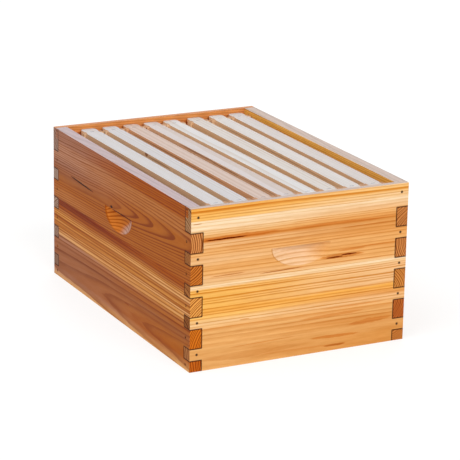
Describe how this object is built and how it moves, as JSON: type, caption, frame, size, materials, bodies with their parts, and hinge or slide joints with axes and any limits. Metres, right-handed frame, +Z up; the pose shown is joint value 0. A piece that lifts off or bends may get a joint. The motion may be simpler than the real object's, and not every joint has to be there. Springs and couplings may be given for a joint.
{
  "type": "beehive body with frames",
  "caption": "Deep wooden hive body, an open box of finger-jointed boards with scooped hand-holds, holding lift-out frames that hang by their lugs on ledges.",
  "frame": {"origin": "centre of the bottom rim, on the surface that the box stands on", "axes": "+X to the right across the front panel, +Y towards the back along the frames, +Z up"},
  "size_m": [0.3556, 0.5048, 0.2445],
  "materials": {
    "waxed_fir": "fir dipped in hot beeswax, golden to red-brown, satin",
    "frame_pine": "bare planed pine, nearly white on top, matt",
    "waxed_foundation": "embossed plastic sheet with a rolled-on coat of yellow beeswax",
    "steel_nails": "dark finish nails",
    "steel_staples": "galvanised wire"
  },
  "bodies": {
    "hive_body": {"front_lower_board": "waxed_fir", "front_upper_board": "waxed_fir", "back_lower_board": "waxed_fir", "back_upper_board": "waxed_fir", "left_lower_board": "waxed_fir", "left_upper_board": "waxed_fir", "right_lower_board": "waxed_fir", "right_upper_board": "waxed_fir", "corner_nails": "steel_nails"},
    "frame_1": {"frame_1_top_bar": "frame_pine", "frame_1_front_end_bar": "frame_pine", "frame_1_back_end_bar": "frame_pine", "frame_1_bottom_bar": "frame_pine", "frame_1_foundation": "waxed_foundation", "frame_1_staples": "steel_staples"},
    "frame_2": {"frame_2_top_bar": "frame_pine", "frame_2_front_end_bar": "frame_pine", "frame_2_back_end_bar": "frame_pine", "frame_2_bottom_bar": "frame_pine", "frame_2_foundation": "waxed_foundation", "frame_2_staples": "steel_staples"},
    "frame_3": {"frame_3_top_bar": "frame_pine", "frame_3_front_end_bar": "frame_pine", "frame_3_back_end_bar": "frame_pine", "frame_3_bottom_bar": "frame_pine", "frame_3_foundation": "waxed_foundation", "frame_3_staples": "steel_staples"},
    "frame_4": {"frame_4_top_bar": "frame_pine", "frame_4_front_end_bar": "frame_pine", "frame_4_back_end_bar": "frame_pine", "frame_4_bottom_bar": "frame_pine", "frame_4_foundation": "waxed_foundation", "frame_4_staples": "steel_staples"},
    "frame_5": {"frame_5_top_bar": "frame_pine", "frame_5_front_end_bar": "frame_pine", "frame_5_back_end_bar": "frame_pine", "frame_5_bottom_bar": "frame_pine", "frame_5_foundation": "waxed_foundation", "frame_5_staples": "steel_staples"},
    "frame_6": {"frame_6_top_bar": "frame_pine", "frame_6_front_end_bar": "frame_pine", "frame_6_back_end_bar": "frame_pine", "frame_6_bottom_bar": "frame_pine", "frame_6_foundation": "waxed_foundation", "frame_6_staples": "steel_staples"},
    "frame_7": {"frame_7_top_bar": "frame_pine", "frame_7_front_end_bar": "frame_pine", "frame_7_back_end_bar": "frame_pine", "frame_7_bottom_bar": "frame_pine", "frame_7_foundation": "waxed_foundation", "frame_7_staples": "steel_staples"},
    "frame_8": {"frame_8_top_bar": "frame_pine", "frame_8_front_end_bar": "frame_pine", "frame_8_back_end_bar": "frame_pine", "frame_8_bottom_bar": "frame_pine", "frame_8_foundation": "waxed_foundation", "frame_8_staples": "steel_staples"}
  },
  "joints": [
    {"name": "frame_1_lift", "type": "slide", "parent": "hive_body", "child": "frame_1", "axis": [0, 0, 1], "range_m": [0, 0.26]},
    {"name": "frame_2_lift", "type": "slide", "parent": "hive_body", "child": "frame_2", "axis": [0, 0, 1], "range_m": [0, 0.26]},
    {"name": "frame_3_lift", "type": "slide", "parent": "hive_body", "child": "frame_3", "axis": [0, 0, 1], "range_m": [0, 0.26]},
    {"name": "frame_4_lift", "type": "slide", "parent": "hive_body", "child": "frame_4", "axis": [0, 0, 1], "range_m": [0, 0.26]},
    {"name": "frame_5_lift", "type": "slide", "parent": "hive_body", "child": "frame_5", "axis": [0, 0, 1], "range_m": [0, 0.26]},
    {"name": "frame_6_lift", "type": "slide", "parent": "hive_body", "child": "frame_6", "axis": [0, 0, 1], "range_m": [0, 0.26]},
    {"name": "frame_7_lift", "type": "slide", "parent": "hive_body", "child": "frame_7", "axis": [0, 0, 1], "range_m": [0, 0.26]},
    {"name": "frame_8_lift", "type": "slide", "parent": "hive_body", "child": "frame_8", "axis": [0, 0, 1], "range_m": [0, 0.26]}
  ]
}
